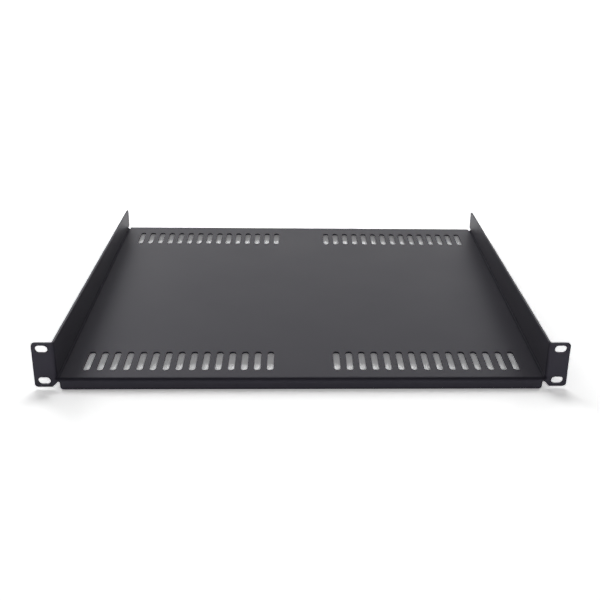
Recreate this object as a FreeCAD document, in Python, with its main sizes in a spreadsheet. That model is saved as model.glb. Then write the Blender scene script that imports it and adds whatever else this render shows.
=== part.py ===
import FreeCAD, Part
import math
import os
import types

import Sketcher

# Cantilever rack shelf, one unit high, for a standard 19-inch rack.
#
# The shelf is one folded sheet. A side wall is folded up along each side of a flat tray. The front
# edge of that whole channel is folded outwards as a flange: below the tray it is the front lip, and
# beside each wall it is a mounting ear. The tray's back edge is folded down as the rear lip, and
# four groups of vent slots are cut through the tray.
#
# Frame: X to the right, Y from front to back, Z up, in millimetres. The origin is the middle of
# the four ear slots, in the plane where the backs of the ears meet the rack's posts.

# Driving dimensions: alias, value in millimetres (or a plain count), what it is
SIZES = [
    ("thickness", 2.0, "thickness of the sheet"),
    ("bend_radius", 1.5, "inside radius of every fold"),
    ("overall_width", 482.6, "across both ears, the 19-inch panel width"),
    ("overall_depth", 400.0, "from the front of the lip to the back edge"),
    ("ear_reach", 18.0, "how far an ear stands out past the outside of the side wall"),
    ("ear_height", 44.0, "height of an ear, inside one rack unit"),
    ("ear_corner", 3.0, "radius of an ear's outer corners"),
    ("lip_height", 11.0, "from the bottom of the front lip to the tray's top face"),
    ("lip_drop", 2.8, "from the bottom of the ears down to the bottom of the lip"),
    ("lip_inset", 4.2, "from the outside of a side wall in to the end of the front lip"),
    ("lip_corner", 3.0, "radius of the front lip's lower corners"),
    ("rear_lip_height", 8.5, "from the bottom of the rear lip to the tray's top face"),
    ("relief_width", 0.8, "tray cut away beside the fold at each rear corner"),
    ("relief_depth", 8.0, "length of that cut from the back edge"),
    ("wall_rear_height", 22.9, "height of a side wall above the tray at the back"),
    ("wall_tip", 2.0, "radius of a side wall's top corner at the back"),
    ("notch_radius", 1.1, "radius of the notch between lip and ear, at its top"),
    ("notch_reach", 0.3, "how far that notch runs up into the fold"),
    ("rack_slot_inset", 8.75, "from an ear's outer edge in to the middle of its slots"),
    ("rack_slot_spacing", 31.75, "between the lower and upper slots of an ear"),
    ("rack_slot_length", 11.0, "ear slot, end to end"),
    ("rack_slot_width", 7.0, "ear slot, across"),
    ("vent_length", 36.0, "vent slot, end to end"),
    ("vent_width", 6.0, "vent slot, across"),
    ("vent_count", 15, "vent slots in one group"),
    ("vent_middle", 31.2, "from the centre line to a group's innermost slot"),
    ("vent_side", 24.1, "from the outside of a side wall in to a group's outermost slot"),
    ("vent_front", 16.5, "from the front of the lip to the front vent slots"),
    ("vent_rear", 23.3, "from the rear vent slots to the back edge"),
]


class Length:
    """A size: its value, and the spreadsheet expression that keeps the model tied to it."""

    def __init__(self, value, expression):
        self.value = value
        self.expression = expression

    def combined(self, sign, other, value):
        text = getattr(other, "expression", other)
        return Length(value, "(%s %s %s)" % (self.expression, sign, text))

    def __add__(self, other):
        return self.combined("+", other, self.value + getattr(other, "value", other))

    def __sub__(self, other):
        return self.combined("-", other, self.value - getattr(other, "value", other))

    def __mul__(self, other):
        return self.combined("*", other, self.value * getattr(other, "value", other))

    def __truediv__(self, other):
        return self.combined("/", other, self.value / getattr(other, "value", other))

    def __neg__(self):
        return Length(-self.value, "(-1 * %s)" % self.expression)


doc = FreeCAD.newDocument("RackShelf")
sheet = doc.addObject("Spreadsheet::Sheet", "Sizes")
for row, (alias, value, meaning) in enumerate(SIZES, start=1):
    sheet.set("A%d" % row, alias)
    sheet.set("B%d" % row, str(value))
    sheet.setAlias("B%d" % row, alias)
    sheet.set("C%d" % row, meaning)
doc.recompute()
size = types.SimpleNamespace(**{a: Length(value, "Sizes.%s" % a) for a, value, meaning in SIZES})

# Places that follow from the sizes
ORIGIN = Length(0.0, "0")
outer_radius = size.bend_radius + size.thickness
ear_side = size.overall_width / 2
half_body = ear_side - size.ear_reach
ear_top = size.ear_height / 2
ear_bottom = -ear_top
lip_bottom = ear_bottom - size.lip_drop
tray_top = lip_bottom + size.lip_height
tray_bottom = tray_top - size.thickness
front_face = -size.thickness
back_edge = size.overall_depth - size.thickness
fold_side = half_body - outer_radius
fold_height = tray_bottom + outer_radius

ACROSS = FreeCAD.Vector(1, 0, 0)
BACK = FreeCAD.Vector(0, 1, 0)
UP = FreeCAD.Vector(0, 0, 1)

body = doc.addObject("PartDesign::Body", "Shelf")
body.Label = "shelf"


# --- Sketching -------------------------------------------------------------------------------
def new_sketch(name, role, offset=None):
    """A sketch on one of the body's origin planes, or parallel to it at an offset."""
    sketch = body.newObject("Sketcher::SketchObject", name)
    planes = [feature for feature in body.Origin.OriginFeatures if feature.Role == role]
    sketch.AttachmentSupport = [(planes[0], "")]
    sketch.MapMode = "FlatFace"
    if offset is not None:
        sketch.setExpression("AttachmentOffset.Base.z", offset.expression)
    return sketch


def bind(sketch, length, kind, *where):
    """A sketch dimension tied to the sheet."""
    number = sketch.addConstraint(Sketcher.Constraint(kind, *where, length.value))
    sketch.setExpression("Constraints[%d]" % number, length.expression)


def bind_point(sketch, x, y, *where):
    """Ties a point of a sketch to its place from the origin."""
    bind(sketch, x, "DistanceX", *where)
    bind(sketch, y, "DistanceY", *where)


def add_edge(sketch, start, end, radius=None, turn=1):
    """A line, or an arc that turns left (1) or right (-1): its number and its two ends'."""
    start, end = (FreeCAD.Vector(x.value, y.value) for x, y in (start, end))
    if radius is None:
        return sketch.addGeometry(Part.LineSegment(start, end)), 1, 2
    chord = end - start
    reach = math.sqrt(radius.value ** 2 - chord.Length ** 2 / 4) / chord.Length
    middle = (start + end) / 2 + FreeCAD.Vector(-chord.y, chord.x) * (turn * reach)
    circle = Part.Circle(middle, UP, radius.value)
    first, last = (circle.parameter(point) for point in (start, end)[::turn])
    number = sketch.addGeometry(Part.ArcOfCircle(circle, first, last))
    bind(sketch, radius, "Radius", number)
    return (number, 1, 2) if turn > 0 else (number, 2, 1)


def outline(sketch, corners, closed=True):
    """Edges from corner to corner: (x, y), then radius and turn if an arc leads to that corner."""
    followers = corners[1:] + corners[:1] if closed else corners[1:]
    edges = []
    for corner, following in zip(corners, followers):
        edges.append(add_edge(sketch, corner[:2], following[:2], *following[2:]))
    following_edges = edges[1:] + edges[:1] if closed else edges[1:]
    for (number, start, end), (following, begin, _) in zip(edges, following_edges):
        sketch.addConstraint(Sketcher.Constraint("Coincident", number, end, following, begin))
    for (number, start, end), corner in zip(edges, corners):
        bind_point(sketch, corner[0], corner[1], number, start)
    if not closed:
        bind_point(sketch, corners[-1][0], corners[-1][1], edges[-1][0], edges[-1][2])


def obround(sketch, x, y, length, width, upright):
    """A slot with round ends and its middle at x and y, along the sketch's Y if upright."""
    reach = (length - width) / 2
    radius = width / 2
    along = FreeCAD.Vector(0, 1) if upright else FreeCAD.Vector(1, 0)
    left = FreeCAD.Vector(-along.y, along.x) * radius.value
    middle = FreeCAD.Vector(x.value, y.value)
    far = middle + along * reach.value
    near = middle - along * reach.value
    angle = math.atan2(along.y, along.x) - math.pi / 2
    numbers = sketch.addGeometry([
        Part.ArcOfCircle(Part.Circle(far, UP, radius.value), angle, angle + math.pi),
        Part.LineSegment(far + left, near + left),
        Part.ArcOfCircle(Part.Circle(near, UP, radius.value), angle + math.pi, angle + 2 * math.pi),
        Part.LineSegment(near - left, far - left),
    ])
    for number, following in zip(numbers, numbers[1:] + numbers[:1]):
        sketch.addConstraint(Sketcher.Constraint("Tangent", number, 2, following, 1))
    sketch.addConstraint(Sketcher.Constraint("Equal", numbers[0], numbers[2]))
    bind(sketch, radius, "Radius", numbers[0])
    for number, step in ((numbers[0], reach), (numbers[2], -reach)):
        centre = (x, y + step) if upright else (x + step, y)
        bind_point(sketch, *centre, number, 3)


# --- Features --------------------------------------------------------------------------------
def add(kind, name, **settings):
    """The body's next feature. A cut has to take metal away, and anything else has to add some."""
    before = body.Shape.Volume if body.Tip else 0.0
    feature = body.newObject("PartDesign::" + kind, name)
    for setting, value in settings.items():
        if isinstance(value, Length):
            feature.setExpression(setting, value.expression)
        else:
            setattr(feature, setting, value)
    doc.recompute()
    body.Tip = feature
    doc.recompute()
    change = feature.Shape.Volume - before
    if kind in ("Pocket", "Pad", "AdditivePipe") and (change < 0) != (kind == "Pocket"):
        raise RuntimeError("%s changed the volume by %.3f" % (name, change))
    return feature


def mirror(name, feature):
    """The same feature on the other side of the centre line."""
    return add("Mirrored", name, Originals=[feature], MirrorPlane=(feature.Profile[0], ["V_Axis"]))


def both_sides(x, y, z):
    """The two places at x and at -x."""
    return [FreeCAD.Vector(side * x.value, y.value, z.value) for side in (1, -1)]


def round_edges(name, radius, direction, places):
    """Rounds the straight edges along a direction that pass through the given places."""
    base = body.Tip
    names = []
    for number, edge in enumerate(base.Shape.Edges, start=1):
        straight = isinstance(edge.Curve, Part.Line) and edge.Curve.Direction.cross(direction).Length < 1e-6
        offsets = [(edge.CenterOfMass - place).cross(direction).Length for place in places]
        if straight and min(offsets) < 0.01:
            names.append("Edge%d" % number)
    if len(names) != len(places):
        raise RuntimeError("%s found %d edges for %d places" % (name, len(names), len(places)))
    return add("Fillet", name, Base=(base, names), Radius=radius)


# --- The channel: tray and side walls ---------------------------------------------------------
# The section of one wall, with the flange's fold at its front, is swept round the outside of the
# channel. The path's arcs are the folds between the tray and the walls.
flange_side = half_body + size.bend_radius
wall_section = new_sketch("WallSection", "XY_Plane", ear_top)
outline(wall_section, [
    (-half_body, size.bend_radius, size.bend_radius, 1),
    (-half_body, back_edge),
    (size.thickness - half_body, back_edge),
    (size.thickness - half_body, size.bend_radius),
    (-flange_side, front_face, outer_radius, -1),
    (-flange_side, ORIGIN),
])
channel_path = new_sketch("ChannelPath", "XZ_Plane")
outline(channel_path, [
    (-half_body, ear_top),
    (-half_body, fold_height),
    (-fold_side, tray_bottom, outer_radius, 1),
    (fold_side, tray_bottom),
    (half_body, fold_height, outer_radius, 1),
    (half_body, ear_top),
], closed=False)
add("AdditivePipe", "Channel", Profile=wall_section, Spine=(channel_path, []))

# --- The front flange: the flats of the two ears and the front lip, in one plane ---------------
flange_radius = size.bend_radius + outer_radius
flange_height = fold_height - flange_radius
lip_side = half_body - size.lip_inset
flange_outline = new_sketch("FlangeOutline", "XZ_Plane")
outline(flange_outline, [
    (flange_side, ear_top),
    (ear_side, ear_top),
    (ear_side, ear_bottom),
    (lip_side, ear_bottom),
    (lip_side, lip_bottom),
    (-lip_side, lip_bottom),
    (-lip_side, ear_bottom),
    (-ear_side, ear_bottom),
    (-ear_side, ear_top),
    (-flange_side, ear_top),
    (-flange_side, fold_height),
    (-fold_side, flange_height, flange_radius, 1),
    (fold_side, flange_height),
    (flange_side, fold_height, flange_radius, 1),
])
add("Pad", "Flange", Profile=flange_outline, Length=size.thickness)

# --- A notch frees each end of the lip from the ear, and cuts the ear's corner at 45 degrees ----
# Its round top runs up into the fold and touches the lip's end and the ear's sloping edge.
diagonal = math.sqrt(0.5)
notch_middle = flange_height + size.notch_reach - size.notch_radius
notch_foot = lip_bottom - size.thickness
slope_start = lip_side + size.notch_radius * (1 + diagonal)
slope_height = notch_middle + size.notch_radius * diagonal
notch_outline = new_sketch("NotchOutline", "XZ_Plane")
outline(notch_outline, [
    (lip_side, notch_foot),
    (lip_side, notch_middle),
    (slope_start, slope_height, size.notch_radius, -1),
    (slope_start + slope_height - notch_foot, notch_foot),
])
notch = add("Pocket", "Notch", Profile=notch_outline, Length=outer_radius * 2, Midplane=True)
mirror("NotchPair", notch)
mid_flange = front_face / 2
ear_corners = both_sides(ear_side, mid_flange, ear_top) + both_sides(ear_side, mid_flange, ear_bottom)
round_edges("EarCorners", size.ear_corner, BACK, ear_corners)
round_edges("LipCorners", size.lip_corner, BACK, both_sides(lip_side, mid_flange, lip_bottom))

# --- The side walls slope from the ears' full height down to a low corner at the back -----------
wall_rear = tray_top + size.wall_rear_height
above_ear = ear_top + size.thickness
past_back = back_edge + size.thickness
wall_slope = new_sketch("WallSlope", "YZ_Plane")
outline(wall_slope, [
    (size.bend_radius, ear_top),
    (back_edge, wall_rear),
    (past_back, wall_rear),
    (past_back, above_ear),
    (size.bend_radius, above_ear),
])
add("Pocket", "WallTaper", Profile=wall_slope, Type="ThroughAll", Midplane=True)
mid_wall = half_body - size.thickness / 2
round_edges("WallTips", size.wall_tip, ACROSS, both_sides(mid_wall, back_edge, wall_rear))

# --- The rear lip: the tray's back edge folded down between two corner reliefs ------------------
rear_side = fold_side - size.relief_width
rear_fold = back_edge - outer_radius
rear_lip_bottom = tray_top - size.rear_lip_height
rear_trim = new_sketch("RearTrim", "XY_Plane")
outline(rear_trim, [
    (-rear_side, rear_fold),
    (rear_side, rear_fold),
    (rear_side, past_back),
    (-rear_side, past_back),
])
add("Pocket", "TrayEnd", Profile=rear_trim, Type="ThroughAll")
rear_section = new_sketch("RearLipSection", "YZ_Plane")
outline(rear_section, [
    (rear_fold, tray_top),
    (back_edge, tray_top - outer_radius, outer_radius, -1),
    (back_edge, rear_lip_bottom),
    (back_edge - size.thickness, rear_lip_bottom),
    (back_edge - size.thickness, tray_top - outer_radius),
    (rear_fold, tray_bottom, size.bend_radius, 1),
])
add("Pad", "RearLip", Profile=rear_section, Length=rear_side * 2, Midplane=True)
mid_rear_lip = back_edge - size.thickness / 2
round_edges("RearLipCorners", size.lip_corner, BACK, both_sides(rear_side, mid_rear_lip, rear_lip_bottom))
relief_outline = new_sketch("ReliefOutline", "XY_Plane", fold_height)
outline(relief_outline, [
    (rear_side, back_edge - size.relief_depth),
    (half_body + size.thickness, back_edge - size.relief_depth),
    (half_body + size.thickness, past_back),
    (rear_side, past_back),
])
relief = add("Pocket", "Relief", Profile=relief_outline, Type="ThroughAll")
mirror("ReliefPair", relief)

# --- Ear slots: two in each ear ----------------------------------------------------------------
rack_slots = new_sketch("RackSlotOutline", "XZ_Plane")
for level in (size.rack_slot_spacing / 2, size.rack_slot_spacing / -2):
    obround(rack_slots, ear_side - size.rack_slot_inset, level,
            size.rack_slot_length, size.rack_slot_width, upright=False)
rack_slot = add("Pocket", "RackSlots", Profile=rack_slots, Length=size.thickness, Reversed=True)
mirror("RackSlotPairs", rack_slot)

# --- Vent slots: a front and a rear slot, repeated along the rows and mirrored ------------------
front_vent = front_face + size.vent_front + size.vent_length / 2
rear_vent = back_edge - size.vent_rear - size.vent_length / 2
vent_outline = new_sketch("VentOutline", "XY_Plane")
for middle in (front_vent, rear_vent):
    obround(vent_outline, size.vent_middle, middle, size.vent_length, size.vent_width, upright=True)
vent = add("Pocket", "Vent", Profile=vent_outline, Type="ThroughAll")
vent_span = half_body - size.vent_side - size.vent_middle
vent_group = body.newObject("PartDesign::LinearPattern", "VentGroup")
vent_group.Direction = (vent_outline, ["H_Axis"])
vent_group.Mode = "Extent"
vent_group.setExpression("Length", vent_span.expression)
vent_group.setExpression("Occurrences", size.vent_count.expression)
vent_mirror = body.newObject("PartDesign::Mirrored", "VentMirror")
vent_mirror.MirrorPlane = (vent_outline, ["V_Axis"])
add("MultiTransform", "Vents", Originals=[vent], Transformations=[vent_group, vent_mirror])

# --- The part is written only if every object is sound -----------------------------------------
for item in doc.Objects:
    if {"Invalid", "Error"} & set(item.State):
        raise RuntimeError("%s could not be built: %s" % (item.Label, item.State))
shape = body.Shape
if shape.isNull() or not shape.isValid() or len(shape.Solids) != 1:
    raise RuntimeError("the shelf is not one sound solid")
os.makedirs("parts", exist_ok=True)
shape.exportStep(os.path.join("parts", body.Label + ".step"))
print("%s: %.1f x %.1f x %.1f mm, %.1f cm3" % (
    body.Label, shape.BoundBox.XLength, shape.BoundBox.YLength, shape.BoundBox.ZLength, shape.Volume / 1000))
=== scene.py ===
import math

import bmesh
import bpy
from mathutils import Euler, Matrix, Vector


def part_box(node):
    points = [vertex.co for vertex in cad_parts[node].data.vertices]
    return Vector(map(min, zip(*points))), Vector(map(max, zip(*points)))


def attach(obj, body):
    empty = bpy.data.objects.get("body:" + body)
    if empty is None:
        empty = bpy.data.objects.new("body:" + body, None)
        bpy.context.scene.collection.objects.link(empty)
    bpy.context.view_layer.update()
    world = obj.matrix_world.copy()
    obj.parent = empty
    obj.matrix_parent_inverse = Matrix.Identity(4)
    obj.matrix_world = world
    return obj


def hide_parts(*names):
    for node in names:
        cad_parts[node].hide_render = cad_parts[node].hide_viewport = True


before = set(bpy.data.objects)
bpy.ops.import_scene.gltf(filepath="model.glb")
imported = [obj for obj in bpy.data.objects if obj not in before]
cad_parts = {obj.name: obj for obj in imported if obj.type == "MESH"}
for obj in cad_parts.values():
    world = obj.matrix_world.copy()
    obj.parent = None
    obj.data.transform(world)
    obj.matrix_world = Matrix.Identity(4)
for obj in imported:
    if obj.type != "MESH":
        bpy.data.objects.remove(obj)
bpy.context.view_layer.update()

# A rack shelf: one blank of sheet steel, punched, folded and powder coated. It stands on a white
# sweep in soft light. The frame is the shelf's own: X to the right, Y to the back, Z up, in metres.


# ---- The coated sheet ----------------------------------------------------------------------------
# The shelf is a 2 mm mild-steel blank: its vents, slots and notches are punched, its walls, lips
# and ears are folded on a press brake, and the whole is powder coated in matt black. The coat
# flows round every punched or sheared edge, so no edge is left sharp.
MM = 0.001
SAME_POINT = 0.01 * MM
SAME_FLAT = math.radians(0.5)
SQUARE_ON = 0.999
SMALLEST_WALL = 0.005  # square metres: of the faces that point sideways, only the walls' are larger
COAT_EDGE = 0.35 * MM
COAT_EDGE_STEPS = 2
SHEARED_EDGE = math.radians(40)
FACE_PULL = 100  # the large faces set the shading of the rounded edges beside them

# The loose triangles of the CAD sheet become whole faces, so that only real edges are rounded
bare_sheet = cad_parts["shelf"]
blank = bmesh.new()
blank.from_mesh(bare_sheet.data)
bmesh.ops.remove_doubles(blank, verts=blank.verts, dist=SAME_POINT)
bmesh.ops.dissolve_limit(blank, angle_limit=SAME_FLAT, verts=blank.verts, edges=blank.edges)

# Where the insides of the side walls meet the tray's top
upward_faces = [face for face in blank.faces if face.normal.z > SQUARE_ON]
tray = max(upward_faces, key=lambda face: face.calc_area())
tray_top = tray.calc_center_median().z
wall_faces = [face for face in blank.faces
              if abs(face.normal.x) > SQUARE_ON and face.calc_area() > SMALLEST_WALL]
wall_inside = min(abs(face.calc_center_median().x) for face in wall_faces)

coated_mesh = bpy.data.meshes.new("coated_sheet")
blank.to_mesh(coated_mesh)
blank.free()
coated_mesh.shade_smooth()
coated_sheet = bpy.data.objects.new("coated_sheet", coated_mesh)
bpy.context.scene.collection.objects.link(coated_sheet)
rounding = coated_sheet.modifiers.new("coat_edges", "BEVEL")
rounding.width = COAT_EDGE
rounding.segments = COAT_EDGE_STEPS
rounding.limit_method = "ANGLE"
rounding.angle_limit = SHEARED_EDGE
shading = coated_sheet.modifiers.new("flat_faces_flat", "WEIGHTED_NORMAL")
shading.mode = "FACE_AREA"
shading.weight = FACE_PULL


def linear(hex_colour):
    """The linear RGBA of an sRGB hex colour."""
    parts = [int(hex_colour[i:i + 2], 16) / 255 for i in (1, 3, 5)]
    return [p / 12.92 if p <= 0.04045 else ((p + 0.055) / 1.055) ** 2.4 for p in parts] + [1.0]


def add_node(tree, kind, settings=None, inputs=None):
    """Adds a shader node: its settings by name, its inputs by value or by the socket to link."""
    node = tree.nodes.new(kind)
    for name, value in (settings or {}).items():
        setattr(node, name, value)
    for name, value in (inputs or {}).items():
        if isinstance(value, bpy.types.NodeSocket):
            tree.links.new(value, node.inputs[name])
        else:
            node.inputs[name].default_value = value
    return node


# Matt black polyester powder coat, baked on steel: a dielectric skin that hides the metal. It gives
# a charcoal that is nearly black from the front and greyer at a low angle, with the faint orange
# peel of cured powder. Powder is thin and dry deep in a fold, so the coat is dull there.
DARK_TONE = linear("#19171f")
LIGHT_TONE = linear("#1d1b24")
GLOSS_TINT = linear("#efebff")
COAT_IOR = 1.5
SMOOTHEST = 0.47
ROUGHEST = 0.53
FOLD_ROUGHNESS = 0.9
DULL_WITHIN = 1.4 * MM
DULL_UP_TO = 2.4 * MM

# Tone and sheen drift over about 60 mm, from one pass of the spray gun to the next. The ripples of
# the orange peel are 2.5 mm across and 0.02 mm high. The powder's own grain is less than 0.1 mm
# across, which is too fine to show, so it is drawn at 0.7 mm.
SPRAY_PASS = 60 * MM
PEEL = 2.5 * MM
PEEL_HEIGHT = 0.02 * MM
GRAIN = 0.7 * MM
GRAIN_HEIGHT = 0.01 * MM

# A Mix node's colours go in and come out at these sockets, as it has several of each name
COLOUR_A, COLOUR_B, MIXED_COLOUR = 6, 7, 2

powder_coat = bpy.data.materials.new("matt_black_powder_coat")
powder_coat.use_nodes = True
coat = powder_coat.node_tree
coat.nodes.clear()
place = add_node(coat, "ShaderNodeTexCoord").outputs["Object"]
drift = add_node(coat, "ShaderNodeTexNoise", inputs={
    "Vector": place, "Scale": 1 / SPRAY_PASS, "Detail": 2.0})
peel = add_node(coat, "ShaderNodeTexNoise", inputs={
    "Vector": place, "Scale": 1 / PEEL, "Detail": 1.0})
grain = add_node(coat, "ShaderNodeTexNoise", inputs={
    "Vector": place, "Scale": 1 / GRAIN, "Detail": 1.0})
tone = add_node(coat, "ShaderNodeMix", {"data_type": "RGBA"}, {
    0: drift.outputs["Fac"], COLOUR_A: DARK_TONE, COLOUR_B: LIGHT_TONE})
sheen = add_node(coat, "ShaderNodeMapRange", inputs={
    "Value": drift.outputs["Fac"], "To Min": SMOOTHEST, "To Max": ROUGHEST})

# How far a point is from the nearer of the two folds that run from front to back
parts_of_place = add_node(coat, "ShaderNodeSeparateXYZ", inputs={"Vector": place})
from_middle = add_node(coat, "ShaderNodeMath", {"operation": "ABSOLUTE"}, {
    0: parts_of_place.outputs["X"]})
in_section = add_node(coat, "ShaderNodeCombineXYZ", inputs={
    "X": from_middle.outputs["Value"], "Z": parts_of_place.outputs["Z"]})
from_fold = add_node(coat, "ShaderNodeVectorMath", {"operation": "DISTANCE"}, {
    0: in_section.outputs["Vector"], 1: (wall_inside, 0.0, tray_top)})
dullness = add_node(coat, "ShaderNodeMapRange", inputs={
    "Value": from_fold.outputs["Value"], "From Min": DULL_WITHIN, "From Max": DULL_UP_TO,
    "To Min": FOLD_ROUGHNESS, "To Max": sheen.outputs["Result"]})

peel_bump = add_node(coat, "ShaderNodeBump", inputs={
    "Height": peel.outputs["Fac"], "Distance": PEEL_HEIGHT, "Strength": 1.0})
grain_bump = add_node(coat, "ShaderNodeBump", inputs={
    "Height": grain.outputs["Fac"], "Distance": GRAIN_HEIGHT, "Strength": 1.0,
    "Normal": peel_bump.outputs["Normal"]})
coat_shader = add_node(coat, "ShaderNodeBsdfPrincipled", inputs={
    "Base Color": tone.outputs[MIXED_COLOUR], "Roughness": dullness.outputs["Result"],
    "IOR": COAT_IOR, "Specular Tint": GLOSS_TINT, "Normal": grain_bump.outputs["Normal"]})
add_node(coat, "ShaderNodeOutputMaterial", inputs={"Surface": coat_shader.outputs["BSDF"]})
coated_mesh.materials.append(powder_coat)

# The rounded edges are made a plain mesh, which takes the place of the CAD sheet
scene_now = bpy.context.evaluated_depsgraph_get()
finished_mesh = bpy.data.meshes.new_from_object(
    coated_sheet.evaluated_get(scene_now), preserve_all_data_layers=True, depsgraph=scene_now)
coated_sheet.modifiers.clear()
coated_sheet.data = finished_mesh
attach(coated_sheet, "root")
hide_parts("shelf")


# ---- The white sweep -----------------------------------------------------------------------------
# A sheet of white board under the shelf. The shelf stands on its two lips, and the rear one is
# 2.5 mm shallower, so the board slopes to meet both.
BOARD_REACH = 20.0
AT_THE_BACK = 1.0 * MM  # a point of the rear lip's back face is nearer than this to the back edge

low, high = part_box("shelf")
rear_foot = min(v.co.z for v in bare_sheet.data.vertices if v.co.y > high.y - AT_THE_BACK)
slope = (rear_foot - low.z) / (high.y - low.y)
board_corners = [(-BOARD_REACH, -BOARD_REACH), (BOARD_REACH, -BOARD_REACH),
                 (BOARD_REACH, BOARD_REACH), (-BOARD_REACH, BOARD_REACH)]
board = bpy.data.meshes.new("white_board")
board.from_pydata(
    [(x, y, low.z + slope * (y - low.y)) for x, y in board_corners], [], [(0, 1, 2, 3)])
white_board = bpy.data.objects.new("white_board", board)
bpy.context.scene.collection.objects.link(white_board)

# Uncoated white board, which scatters light evenly. Its bright self, which the camera and the gloss
# of the coat see, is printed up to white, still with the shelf's shadow, and fades to a plain white
# far from the shelf. Any other light that it throws back is its own.
BOARD_COLOUR = linear("#e7e7e7")
PLAIN_WHITE = linear("#ffffff")
PRINTED_UP = 2.85
GLOW = 0.16
FADE_FROM = 0.6
FADE_TO = 2.4

matt_white = bpy.data.materials.new("matt_white_board")
matt_white.use_nodes = True
paper = matt_white.node_tree
paper.nodes.clear()
plain_board = add_node(paper, "ShaderNodeBsdfDiffuse", inputs={"Color": BOARD_COLOUR})
printed_board = add_node(paper, "ShaderNodeBsdfDiffuse", inputs={
    "Color": [PRINTED_UP * part for part in BOARD_COLOUR[:3]] + [1.0]})
from_shelf = add_node(paper, "ShaderNodeVectorMath", {"operation": "LENGTH"}, {
    0: add_node(paper, "ShaderNodeTexCoord").outputs["Object"]})
glow = add_node(paper, "ShaderNodeMapRange", inputs={
    "Value": from_shelf.outputs["Value"], "From Min": FADE_FROM, "From Max": FADE_TO,
    "To Min": GLOW, "To Max": 1.0})
board_glow = add_node(paper, "ShaderNodeEmission", inputs={
    "Color": PLAIN_WHITE, "Strength": glow.outputs["Result"]})
bright_board = add_node(paper, "ShaderNodeAddShader", inputs={
    0: printed_board.outputs["BSDF"], 1: board_glow.outputs["Emission"]})
ray = add_node(paper, "ShaderNodeLightPath")
seen = add_node(paper, "ShaderNodeMath", {"operation": "MAXIMUM"}, {
    0: ray.outputs["Is Camera Ray"], 1: ray.outputs["Is Glossy Ray"]})
seen_at_all = add_node(paper, "ShaderNodeMath", {"operation": "MAXIMUM"}, {
    0: seen.outputs["Value"], 1: ray.outputs["Is Transmission Ray"]})
board_surface = add_node(paper, "ShaderNodeMixShader", inputs={
    0: seen_at_all.outputs["Value"],
    1: plain_board.outputs["BSDF"], 2: bright_board.outputs["Shader"]})
add_node(paper, "ShaderNodeOutputMaterial", inputs={"Surface": board_surface.outputs["Shader"]})
board.materials.append(matt_white)


# ---- Light ---------------------------------------------------------------------------------------
# The studio is white up to a low height all round and dim above it. Four soft boxes light the shelf
# from behind, one of them from high up, and a weak one in front fills its lip and ears.
WHITE_UP_TO = 0.08  # the rise of a line of sight of length 1
DIM_ABOVE = 0.30
CEILING = 0.06

studio = bpy.data.worlds.new("white_studio")
studio.use_nodes = True
bpy.context.scene.world = studio
walls = studio.node_tree
walls.nodes.clear()
skyward = add_node(walls, "ShaderNodeSeparateXYZ", inputs={
    "Vector": add_node(walls, "ShaderNodeTexCoord").outputs["Generated"]})
wall_light = add_node(walls, "ShaderNodeMapRange", {"interpolation_type": "SMOOTHSTEP"}, {
    "Value": skyward.outputs["Z"], "From Min": WHITE_UP_TO, "From Max": DIM_ABOVE,
    "To Min": 1.0, "To Max": CEILING})
wall_paint = add_node(walls, "ShaderNodeBackground", inputs={
    "Color": PLAIN_WHITE, "Strength": wall_light.outputs["Result"]})
add_node(walls, "ShaderNodeOutputWorld", inputs={"Surface": wall_paint.outputs["Background"]})

shelf_middle = Vector((0.0, 0.2, 0.0))


def soft_box(name, place, width, height, watts):
    """Hangs a soft box that points at the shelf, out of the camera's sight."""
    box = bpy.data.lights.new(name, "AREA")
    box.shape = "RECTANGLE"
    box.size = width
    box.size_y = height
    box.energy = watts
    holder = bpy.data.objects.new(name, box)
    holder.location = place
    holder.rotation_euler = (shelf_middle - Vector(place)).to_track_quat("-Z", "Y").to_euler()
    holder.visible_camera = False
    bpy.context.scene.collection.objects.link(holder)


soft_box("back_left_box", (-1.5, 2.2, 1.3), width=1.2, height=1.4, watts=18.2)
soft_box("back_right_box", (1.5, 2.2, 1.3), width=1.2, height=1.4, watts=9.0)
soft_box("back_low_box", (0.0, 3.2, 0.7), width=3.2, height=1.0, watts=16.2)
soft_box("back_high_box", (0.0, 1.5, 2.2), width=1.3, height=1.3, watts=13.6)
soft_box("front_box", (0.0, -2.0, 1.5), width=1.6, height=1.2, watts=5.2)


# ---- Camera --------------------------------------------------------------------------------------
# It is in front of the shelf, a little to the left of its middle, and looks down at its tray. A
# small shift of the lens frames the shelf without turning the camera further.
TURN = (67.31374, -1.23991, -2.39020)  # degrees

lens = bpy.data.cameras.new("camera")
lens.sensor_width = 36.0
lens.lens = 55.65105
lens.shift_x = -0.059550
lens.shift_y = -0.047150
camera = bpy.data.objects.new("camera", lens)
camera.location = (-0.011067, -0.740846, 0.400466)
camera.rotation_euler = Euler([math.radians(angle) for angle in TURN])
bpy.context.scene.collection.objects.link(camera)
bpy.context.scene.camera = camera
bpy.context.scene.view_settings.view_transform = "Standard"
